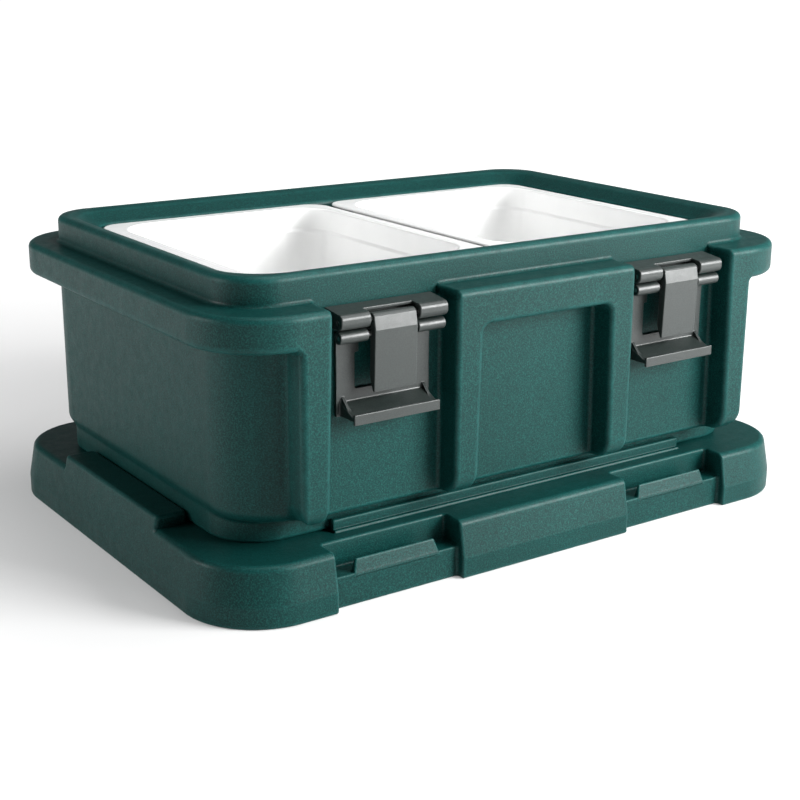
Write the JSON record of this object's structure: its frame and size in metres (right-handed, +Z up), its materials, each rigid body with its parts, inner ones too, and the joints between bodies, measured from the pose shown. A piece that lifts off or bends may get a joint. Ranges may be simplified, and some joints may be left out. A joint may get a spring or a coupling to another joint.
{
  "type": "insulated food carrier",
  "caption": "Top-loading insulated pan carrier standing on its own lid, with toggle latches on both long sides, a raised rim, overhanging flange grips and half-size pans in its well.",
  "frame": {"origin": "middle of the lid's footprint, on the floor that it rests on", "axes": "+X along the long side, -Y towards the front, +Z up"},
  "size_m": [0.696, 0.492, 0.2955],
  "materials": {
    "carrier_plastic": "satin",
    "foam": "matte",
    "pan_plastic": "gloss",
    "latch_nylon": "satin",
    "pin_steel": "satin",
    "insert_brass": "satin"
  },
  "bodies": {
    "lid": {"lid_shell": "carrier_plastic", "lid_foam": "foam", "lid_fill_plug_left": "carrier_plastic", "lid_fill_plug_right": "carrier_plastic"},
    "carrier": {"body_shell": "carrier_plastic", "body_foam": "foam", "body_fill_plug_left": "carrier_plastic", "body_fill_plug_right": "carrier_plastic", "front_left_insert_1": "insert_brass", "front_left_screw_1": "pin_steel", "front_left_insert_2": "insert_brass", "front_left_screw_2": "pin_steel", "front_left_bracket": "latch_nylon", "front_left_upper_pin": "pin_steel", "front_right_insert_1": "insert_brass", "front_right_screw_1": "pin_steel", "front_right_insert_2": "insert_brass", "front_right_screw_2": "pin_steel", "front_right_bracket": "latch_nylon", "front_right_upper_pin": "pin_steel", "back_left_insert_1": "insert_brass", "back_left_screw_1": "pin_steel", "back_left_insert_2": "insert_brass", "back_left_screw_2": "pin_steel", "back_left_bracket": "latch_nylon", "back_left_upper_pin": "pin_steel", "back_right_insert_1": "insert_brass", "back_right_screw_1": "pin_steel", "back_right_insert_2": "insert_brass", "back_right_screw_2": "pin_steel", "back_right_bracket": "latch_nylon", "back_right_upper_pin": "pin_steel"},
    "pan_left": {"pan_left": "pan_plastic"},
    "pan_right": {"pan_right": "pan_plastic"},
    "front_left_handle": {"front_left_handle": "latch_nylon", "front_left_lower_pin": "pin_steel"},
    "front_left_bail": {"front_left_bail": "latch_nylon"},
    "front_right_handle": {"front_right_handle": "latch_nylon", "front_right_lower_pin": "pin_steel"},
    "front_right_bail": {"front_right_bail": "latch_nylon"},
    "back_left_handle": {"back_left_handle": "latch_nylon", "back_left_lower_pin": "pin_steel"},
    "back_left_bail": {"back_left_bail": "latch_nylon"},
    "back_right_handle": {"back_right_handle": "latch_nylon", "back_right_lower_pin": "pin_steel"},
    "back_right_bail": {"back_right_bail": "latch_nylon"}
  },
  "joints": [
    {"name": "carrier_lift", "type": "slide", "parent": "lid", "child": "carrier", "axis": [0, 0, 1], "range_m": [0, 0.25]},
    {"name": "pan_left_lift", "type": "slide", "parent": "carrier", "child": "pan_left", "axis": [0, 0, 1], "range_m": [0, 0.2]},
    {"name": "pan_right_lift", "type": "slide", "parent": "carrier", "child": "pan_right", "axis": [0, 0, 1], "range_m": [0, 0.2]},
    {"name": "front_left_handle_hinge", "type": "hinge", "parent": "carrier", "child": "front_left_handle", "pos_m": [-0.169, -0.227, 0.2545], "axis": [1, 0, 0], "range_deg": [-150, 0]},
    {"name": "front_left_bail_hinge", "type": "hinge", "parent": "front_left_handle", "child": "front_left_bail", "pos_m": [-0.169, -0.2255, 0.241], "axis": [-1, 0, 0], "range_deg": [0, 180]},
    {"name": "front_right_handle_hinge", "type": "hinge", "parent": "carrier", "child": "front_right_handle", "pos_m": [0.169, -0.227, 0.2545], "axis": [1, 0, 0], "range_deg": [-150, 0]},
    {"name": "front_right_bail_hinge", "type": "hinge", "parent": "front_right_handle", "child": "front_right_bail", "pos_m": [0.169, -0.2255, 0.241], "axis": [-1, 0, 0], "range_deg": [0, 180]},
    {"name": "back_left_handle_hinge", "type": "hinge", "parent": "carrier", "child": "back_left_handle", "pos_m": [-0.169, 0.227, 0.2545], "axis": [-1, 0, 0], "range_deg": [-150, 0]},
    {"name": "back_left_bail_hinge", "type": "hinge", "parent": "back_left_handle", "child": "back_left_bail", "pos_m": [-0.169, 0.2255, 0.241], "axis": [1, 0, 0], "range_deg": [0, 180]},
    {"name": "back_right_handle_hinge", "type": "hinge", "parent": "carrier", "child": "back_right_handle", "pos_m": [0.169, 0.227, 0.2545], "axis": [-1, 0, 0], "range_deg": [-150, 0]},
    {"name": "back_right_bail_hinge", "type": "hinge", "parent": "back_right_handle", "child": "back_right_bail", "pos_m": [0.169, 0.2255, 0.241], "axis": [1, 0, 0], "range_deg": [0, 180]}
  ]
}
